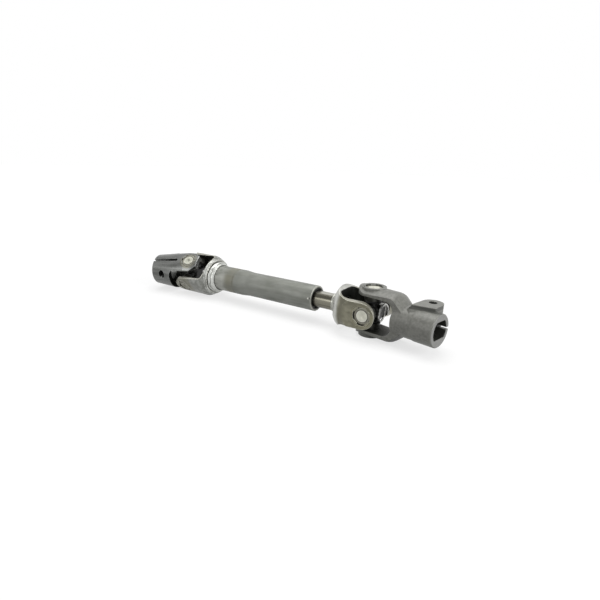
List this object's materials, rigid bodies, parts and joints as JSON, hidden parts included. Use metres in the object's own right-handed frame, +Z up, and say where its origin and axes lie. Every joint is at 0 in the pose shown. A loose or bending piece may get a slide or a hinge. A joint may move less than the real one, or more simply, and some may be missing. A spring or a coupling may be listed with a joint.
{
  "type": "universal joint shaft",
  "caption": "Telescoping steering-type shaft with a cross-and-cup universal joint and a split clamp yoke at each end, sliding on a double-D rod.",
  "frame": {"origin": "bottom centre of the bounding box as the shaft lies", "axes": "+X along the tube towards the gear yoke, +Z up, +Y away from the picture's viewer"},
  "size_m": [0.3143, 0.048, 0.0416],
  "materials": {
    "forged_steel": "shot-blasted forging, oiled satin",
    "pressed_steel": "worked bare steel, satin with olive heat tint",
    "tube_steel": "drawn tube, faint lengthwise streaks",
    "rod_steel": "polished slide faces",
    "weld_steel": "bright weld bead",
    "cup_steel": "ground and polished",
    "cross_steel": "blackened",
    "needle_steel": "ground rollers",
    "spring_steel": "bright wire",
    "seal_rubber": "matt",
    "bush_plastic": "plain"
  },
  "bodies": {
    "tube": {"outer_tube": "tube_steel", "tube_yoke": "pressed_steel", "tube_weld": "weld_steel", "slide_bush": "bush_plastic", "tube_cup_front": "cup_steel", "tube_cup_back": "cup_steel", "tube_yoke_needles": "needle_steel"},
    "column_cross": {"column_cross": "cross_steel", "column_seals": "seal_rubber"},
    "column_yoke": {"column_yoke": "pressed_steel", "column_cup_upper": "cup_steel", "column_cup_lower": "cup_steel", "column_yoke_needles": "needle_steel"},
    "slider": {"slide_rod": "rod_steel", "rod_weld": "weld_steel", "shaft_yoke": "pressed_steel", "shaft_cup_near": "cup_steel", "shaft_cup_far": "cup_steel", "shaft_yoke_needles": "needle_steel"},
    "gear_cross": {"gear_cross": "cross_steel", "gear_seals": "seal_rubber", "joint_spring": "spring_steel"},
    "gear_yoke": {"gear_yoke": "forged_steel", "gear_cup_top": "cup_steel", "gear_cup_bottom": "cup_steel", "gear_yoke_needles": "needle_steel"}
  },
  "joints": [
    {"name": "slide", "type": "slide", "parent": "tube", "child": "slider", "axis": [1, 0, 0], "range_m": [-0.015, 0.04]},
    {"name": "column_swing", "type": "hinge", "parent": "tube", "child": "column_cross", "pos_m": [-0.1115, 0.00334, 0.02082], "axis": [0, 0.7727, 0.6347], "range_deg": [-40, 19.5]},
    {"name": "column_bend", "type": "hinge", "parent": "column_cross", "child": "column_yoke", "pos_m": [-0.1115, 0.00334, 0.02082], "axis": [0.1805, -0.6243, 0.76], "range_deg": [-44, 16]},
    {"name": "gear_pitch", "type": "hinge", "parent": "slider", "child": "gear_cross", "pos_m": [0.0951, 0.00334, 0.02082], "axis": [0, 1, 0], "range_deg": [-30.5, 29]},
    {"name": "gear_yaw", "type": "hinge", "parent": "gear_cross", "child": "gear_yoke", "pos_m": [0.0951, 0.00334, 0.02082], "axis": [0.0122, 0, 0.9999], "range_deg": [-19, 40.5]}
  ]
}
